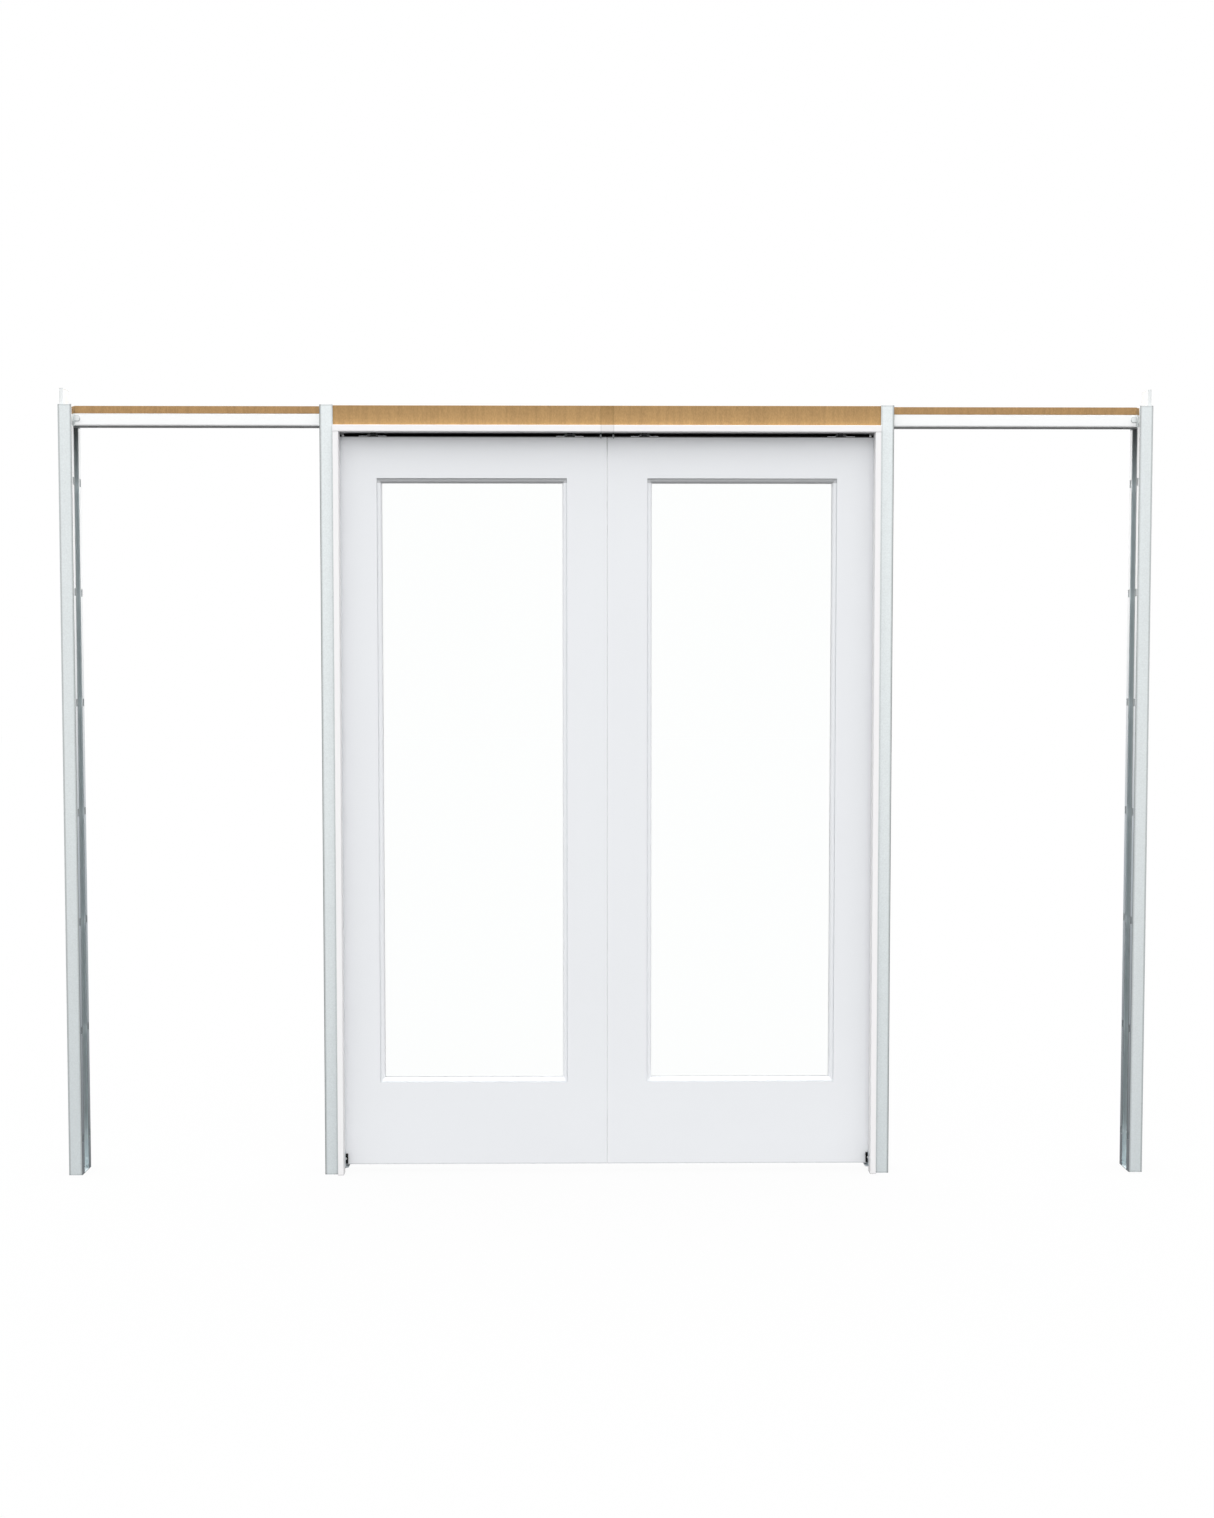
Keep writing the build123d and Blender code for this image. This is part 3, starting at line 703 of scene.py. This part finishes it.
# Operators
class PaintDoors(bpy.types.Operator):
    """Paint the doors' stiles, rails and glazing frames."""

    bl_idname = "pocket_doors.paint_doors"
    bl_label = "Paint Doors"

    def execute(self, context):
        paint = context.scene.pocket_paint
        low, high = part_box("left_hanging_stile")
        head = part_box("left_glazing_frame_front")[1].z - paint.bead

        def door_painted_shade(finish, x, z):
            """Painted shade: a contact shadow along the feet, shadow on the top edges and arris under the
            head jamb, and shade under the head where the doors meet.
            """
            ends = paint.foot_shade * (z < low.z + paint.seam) + paint.top_shade * (z > high.z - paint.arris)
            meet = (abs(x) < paint.meet_width) * finish.smooth(z, high.z - paint.meet_height, high.z)
            return ends + paint.meet_shade * meet

        def bead_painted_shade(finish, x, z):
            """Painted shade on the upper bead."""
            return paint.head_shade * (z > head)

        dress(door_nodes("meeting", "hanging", "top", "bottom"), roller_paint(
            "door_paint", paint, paint.stipple_depth, grain=700.0, gloss=0.34, foot=low.z, dull=door_painted_shade))
        dress(door_nodes("glazing"), roller_paint(
            "bead_paint", paint, 0.5 * paint.stipple_depth, grain=900.0, gloss=0.3, foot=low.z,
            dull=bead_painted_shade))
        return {"FINISHED"}


class GlazeDoors(bpy.types.Operator):
    """Put clear glass in the doors."""

    bl_idname = "pocket_doors.glaze_doors"
    bl_label = "Glaze Doors"

    def execute(self, context):
        dress(door_nodes("glass"), clear_glass(context.scene.pocket_paint.glass))
        return {"FINISHED"}


class PrimeJambs(bpy.types.Operator):
    """Prime the side jambs, head jambs and their splices."""

    bl_idname = "pocket_doors.prime_jambs"
    bl_label = "Prime Jambs"

    def execute(self, context):
        paint = context.scene.pocket_paint
        low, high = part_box("side_jamb_right_rear")
        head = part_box("head_jamb_right_rear")
        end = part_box("head_jamb_splices")[1].x
        door_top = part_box("left_hanging_stile")[1].z

        def under(finish, y):
            """Painted shade on a head jamb's underside, most of it at the back, and on its back edge."""
            deep = 1 - finish.smooth(abs(y), head[0].y, head[1].y)
            slope = paint.under_shade * finish.downward(0.7, 1.0) * deep
            return slope + paint.back_shade * (abs(y) < head[0].y + TOLERANCE)

        def side_jamb_shade_and_joint(finish, x, y, z):
            """A dark joint line at the top, and painted shade: a contact shadow at the foot, shade on the
            inner faces, and deep shade where a jamb faces the gap over a door.
            """
            ends = paint.side_top_shade * (z > high.z - paint.seam) + paint.foot_shade * (z < paint.seam)
            gap = paint.gap_shade * (abs(y) < low.y + TOLERANCE) * (z > door_top)
            return ends + gap + paint.side_shade * (abs(finish.parts(finish.normals)[0]) > 0.5)

        def head_jamb_shade_and_joint(finish, x, y, z):
            """Painted shade on the underside and back edge, and a dark joint line beside the splice."""
            return under(finish, y) + paint.joint_shade * (abs(x) < end + 0.5 * paint.seam)

        def splice_shade_and_joints(finish, x, y, z):
            """Painted shade on the underside and back edge, and a dark joint line at each end of the splice.
            """
            return under(finish, y) + paint.splice_shade * (abs(x) > end - paint.seam)

        dress(frame_nodes("side_jamb"), brushed_primer("side_primer", paint.jamb, "Z", side_jamb_shade_and_joint))
        dress(frame_nodes("head_jamb_left", "head_jamb_right"),
              brushed_primer("head_primer", paint.jamb, "X", head_jamb_shade_and_joint))
        dress(["head_jamb_splices"], brushed_primer("splice_primer", paint.splice, "X", splice_shade_and_joints))
        return {"FINISHED"}


class GalvanisePosts(bpy.types.Operator):
    """Give the posts their zinc coat."""

    bl_idname = "pocket_doors.galvanise_posts"
    bl_label = "Galvanise Posts"

    def execute(self, context):
        steel = context.scene.pocket_steel
        dress(frame_nodes("outer_post"),
              post_steel("outer_zinc", steel, "outer_post_right", share=steel.outer_share))
        dress(frame_nodes("mid_post"), post_steel("mid_zinc", steel, "mid_post_right_rear", share=1.0))
        return {"FINISHED"}


class FinishHeader(bpy.types.Operator):
    """Finish the header's planks, boards and splices in planed timber."""

    bl_idname = "pocket_doors.finish_header"
    bl_label = "Finish Header"

    def execute(self, context):
        wood = context.scene.pocket_timber
        boards = frame_nodes("header_board_left", "header_board_right")
        planks = frame_nodes("header_plank")
        splices = "header_board_splices"
        outer_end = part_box("header_board_right_front")[1].x
        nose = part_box("header_bracket_right")[0].x + context.scene.pocket_steel.tongue_length
        splice_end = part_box(splices)[1].x
        splice_foot = dimmed(wood.foot, 0.94)
        dress(boards, timber("board_timber", wood, wood.foot, wood.top, boards[0], outer_end))
        dress(planks, timber("plank_timber", wood, wood.plank, wood.plank, planks[0], nose))
        dress([splices], timber("splice_timber", wood, splice_foot, wood.splice, splices, splice_end))
        return {"FINISHED"}


class FinishTrack(bpy.types.Operator):
    """Finish the track, its brackets and bumpers, and screw the track to the planks."""

    bl_idname = "pocket_doors.finish_track"
    bl_label = "Finish Track"

    def execute(self, context):
        steel = context.scene.pocket_steel
        fixing = context.scene.pocket_fixing
        bracket, rail = "header_bracket_right", "track_right"
        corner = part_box(bracket)[0].x + steel.tongue_length
        dress(frame_nodes("track_left", rail), sheet_steel(
            "track_steel", steel.track, "X", metal=0.0, rough=0.4, spangle=0.15,
            second_tint=(steel.track_under_shade, track_shade(steel, corner))))
        dress(frame_nodes("header_bracket"), sheet_steel(
            "bracket_steel", steel.bracket, "Z", metal=0.0, rough=0.4, spangle=0.4,
            second_tint=(steel.bracket_shade, bracket_painted_shade(steel, bracket, rail))))
        dress(["track_bumpers"], moulded(
            "rubber", context.scene.pocket_small.rubber, grain=500.0, depth=0.0002, rough=0.6))
        plated = sheet_steel("track_screw_zinc", steel.zinc, "X", metal=1.0, rough=0.3)
        for side, sign in SIDES.items():
            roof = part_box(f"track_{side}")[1].z - fixing.track_sheet
            first, last = fixing.track_margin, reach(f"track_{side}")[1] - fixing.track_margin
            step = (last - first) / (fixing.track_count - 1)
            seats = [((sign * (first + step * number), 0, roof), (0, 0, -1))
                     for number in range(fixing.track_count)]
            add_screws(f"track_screws_{side}", seats, fixing.track_radius, "frame", plated)
        return {"FINISHED"}


class FinishHangers(bpy.types.Operator):
    """Finish plates, bolts, trolleys, axles and wheels, and screw the plates to the doors."""

    bl_idname = "pocket_doors.finish_hangers"
    bl_label = "Finish Hangers"

    def execute(self, context):
        steel = context.scene.pocket_steel
        small = context.scene.pocket_small
        fixing = context.scene.pocket_fixing
        plated = sheet_steel("plated_steel", steel.zinc, "X", metal=1.0, rough=0.32)
        arch_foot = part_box("left_hanger_plates")[0].z + 1.2 * fixing.plate_sheet
        dress(door_nodes("axles"), plated)
        dress(door_nodes("hanger_bolts"), sheet_steel("bolt_steel", steel.arch, "Z", metal=0.3, rough=0.4))
        dress(door_nodes("hanger_plates"), sheet_steel(
            "plate_steel", steel.plate, "X", metal=0.0, rough=0.4, spangle=0.6,
            second_tint=(steel.arch, lambda finish: finish.parts(finish.places)[2] > arch_foot)))
        dress(door_nodes("trolleys"), moulded(
            "trolley_nylon", small.trolley, grain=700.0, depth=0.0001, rough=0.45))
        dress(door_nodes("wheels"), moulded(
            "wheel_nylon", small.wheel, grain=900.0, depth=0.00005, rough=0.35))
        axles = {joint["name"]: joint["pos_m"] for joint in frame["joints"] if joint["type"] == "hinge"}
        for side in SIDES:
            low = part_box(f"{side}_hanger_plates")[0]
            line = [axles[f"{side}_roll_{number}"][0] for number in (1, 2, 3, 4)]
            hangers = sorted(((line[0] + line[1]) / 2, (line[2] + line[3]) / 2))
            spread = hangers[0] - low.x - fixing.plate_inset
            seats = [((hanger + step * spread, 0, low.z + fixing.plate_sheet), (0, 0, 1))
                     for hanger in hangers for step in (-1, 1)]
            add_screws(f"{side}_plate_screws", seats, fixing.plate_radius, f"{side}_door", plated)
        return {"FINISHED"}


class FinishGuides(bpy.types.Operator):
    """Finish the head clips and floor guides, and screw the guides to the jambs."""

    bl_idname = "pocket_doors.finish_guides"
    bl_label = "Finish Guides"

    def execute(self, context):
        steel = context.scene.pocket_steel
        fixing = context.scene.pocket_fixing
        plated = sheet_steel("guide_screw_zinc", steel.track, "Z", metal=0.3, rough=0.34)
        dress(["guide_brackets"], sheet_steel("guide_zinc", steel.guide, "Z", metal=0.2, rough=0.45))
        dress(["centre_clips"], sheet_steel("clip_zinc", steel.clip, "Z", metal=0.2, rough=0.5))
        dress(["guide_pads"], moulded(
            "pad_nylon", context.scene.pocket_small.pad, grain=800.0, depth=0.0001, rough=0.5))
        low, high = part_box("guide_pads")
        deep = high.y - fixing.pad_depth / 2
        seats = [((sign * high.x, face * deep, (low.z + high.z) / 2), (-sign, 0, 0))
                 for sign in SIDES.values() for face in FACES.values()]
        add_screws("guide_screws", seats, fixing.guide_radius, "frame", plated)
        return {"FINISHED"}


class HangShadeBrush(bpy.types.Operator):
    """Hang a black brush strip on the rear head jamb, which shuts the slot over the doors and stands in for
    the deep shade there.
    """

    bl_idname = "pocket_doors.hang_brush"
    bl_label = "Hang Brush"

    def execute(self, context):
        small = context.scene.pocket_small
        pile = moulded("brush_pile", small.brush, grain=900.0, depth=0.0004, rough=0.8)
        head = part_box("head_jamb_right_rear")[0]
        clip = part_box("centre_clips")[1].x
        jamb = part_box("side_jamb_right_rear")[0].x
        clip_room, clip_sheet, jamb_room = 0.001, 0.002, 0.0055
        inner, outer = clip - clip_sheet - clip_room, clip + clip_room
        end = jamb - jamb_room
        spans = [(-end, -outer), (-inner, inner), (outer, end)]
        add_shade_brush("head_brush", spans, head.y, head.z, small, pile)
        return {"FINISHED"}


class SetStage(bpy.types.Operator):
    """Set the camera, the dome of light and a pale floor."""

    bl_idname = "pocket_doors.set_stage"
    bl_label = "Set Stage"

    def execute(self, context):
        stage = context.scene.pocket_stage
        context.scene.view_settings.view_transform = "Standard"
        self.place_camera(context.scene, stage)
        self.light_dome(context.scene, stage)
        self.lay_floor(context.scene, stage)
        return {"FINISHED"}

    @staticmethod
    def place_camera(scene, stage):
        """Stand the camera where the reference view was taken."""
        camera = bpy.data.objects.new("camera", bpy.data.cameras.new("camera"))
        camera.data.lens = stage.focal
        camera.location = stage.camera
        camera.rotation_euler = (math.pi / 2 - stage.pitch, 0, -stage.yaw)
        scene.collection.objects.link(camera)
        scene.camera = camera

    @staticmethod
    def seen(graph):
        """1 on rays that look, straight, in a mirror or through glass, and 0 on rays that light."""
        kinds = ("Is Camera Ray", "Is Glossy Ray", "Is Transmission Ray")
        rays = [graph.node("ShaderNodeLightPath", output=kind) for kind in kinds]
        return sum(rays[1:], rays[0]) > 0

    def light_dome(self, scene, stage):
        """A white dome, brighter overhead, that also is the white backdrop."""
        scene.world = bpy.data.worlds.new("dome")
        scene.world.use_nodes = True
        graph = Graph(scene.world.node_tree)
        white = (1, 1, 1, 1)
        upward = graph.parts(graph.node("ShaderNodeTexCoord", output="Generated"))[2]
        level = graph.blend(upward, (stage.horizon,) * 3, (stage.zenith,) * 3)
        light = graph.node("ShaderNodeBackground", sockets={"Color": level, "Strength": 1.0})
        backdrop = graph.node("ShaderNodeBackground", sockets={"Color": white, "Strength": 1.0})
        mixed = graph.node("ShaderNodeMixShader", sockets={0: self.seen(graph), 1: light, 2: backdrop})
        graph.node("ShaderNodeOutputWorld", sockets={"Surface": mixed})

    def lay_floor(self, scene, stage):
        """A white floor that keeps a faint shadow and gives back little light."""
        mesh = bmesh.new()
        bmesh.ops.create_grid(mesh, x_segments=1, y_segments=1, size=stage.floor / 2)
        data = bpy.data.meshes.new("floor")
        mesh.to_mesh(data)
        mesh.free()
        material = bpy.data.materials.new("floor_white")
        material.use_nodes = True
        graph = Graph(material.node_tree)
        seen = self.seen(graph)
        # The dome's mean light on level ground: a floor of the inverse renders white
        light = stage.horizon / 3 + 2 * stage.zenith / 3
        tint = graph.blend(seen, (stage.bounce,) * 3, (1 / light,) * 3)
        matt = graph.node("ShaderNodeBsdfDiffuse", sockets={"Color": tint})
        white = graph.node("ShaderNodeEmission", sockets={"Color": (1, 1, 1, 1), "Strength": 1.0})
        share = (1 - stage.shadow) * seen
        mixed = graph.node("ShaderNodeMixShader", sockets={0: share, 1: matt, 2: white})
        graph.node("ShaderNodeOutputMaterial", sockets={"Surface": mixed})
        data.materials.append(material)
        floor = bpy.data.objects.new("floor", data)
        scene.collection.objects.link(floor)


class DoorPanel(bpy.types.Panel):
    """Lists the steps that dress the doors."""

    bl_idname = "VIEW3D_PT_pocket_doors"
    bl_label = "Pocket Doors"
    bl_space_type = "VIEW_3D"
    bl_region_type = "UI"
    bl_category = "Pocket Doors"

    def draw(self, context):
        for step in STEPS:
            self.layout.operator(step.bl_idname)
        for name, group in GROUPS.items():
            box = self.layout.box()
            box.label(text=group.__doc__)
            for setting in group.__annotations__:
                box.prop(getattr(context.scene, name), setting)


GROUPS = {"pocket_paint": PaintSettings, "pocket_steel": SteelSettings, "pocket_timber": TimberSettings,
          "pocket_small": SmallPartSettings, "pocket_fixing": FixingSettings, "pocket_stage": StageSettings}
STEPS = (PaintDoors, GlazeDoors, PrimeJambs, GalvanisePosts, FinishHeader, FinishTrack, FinishHangers,
         FinishGuides, HangShadeBrush, SetStage)


def register():
    """Register the settings, steps and panel."""
    for item in (*GROUPS.values(), *STEPS, DoorPanel):
        bpy.utils.register_class(item)
    for name, group in GROUPS.items():
        setattr(bpy.types.Scene, name, PointerProperty(type=group))


def unregister():
    """Take the settings, steps and panel away again."""
    for name in GROUPS:
        delattr(bpy.types.Scene, name)
    for item in reversed((*GROUPS.values(), *STEPS, DoorPanel)):
        bpy.utils.unregister_class(item)


def main():
    """Dress the doors step by step."""
    register()
    bpy.ops.pocket_doors.paint_doors()
    bpy.ops.pocket_doors.glaze_doors()
    bpy.ops.pocket_doors.prime_jambs()
    bpy.ops.pocket_doors.galvanise_posts()
    bpy.ops.pocket_doors.finish_header()
    bpy.ops.pocket_doors.finish_track()
    bpy.ops.pocket_doors.finish_hangers()
    bpy.ops.pocket_doors.finish_guides()
    bpy.ops.pocket_doors.hang_brush()
    bpy.ops.pocket_doors.set_stage()


if __name__ == "__main__":
    main()
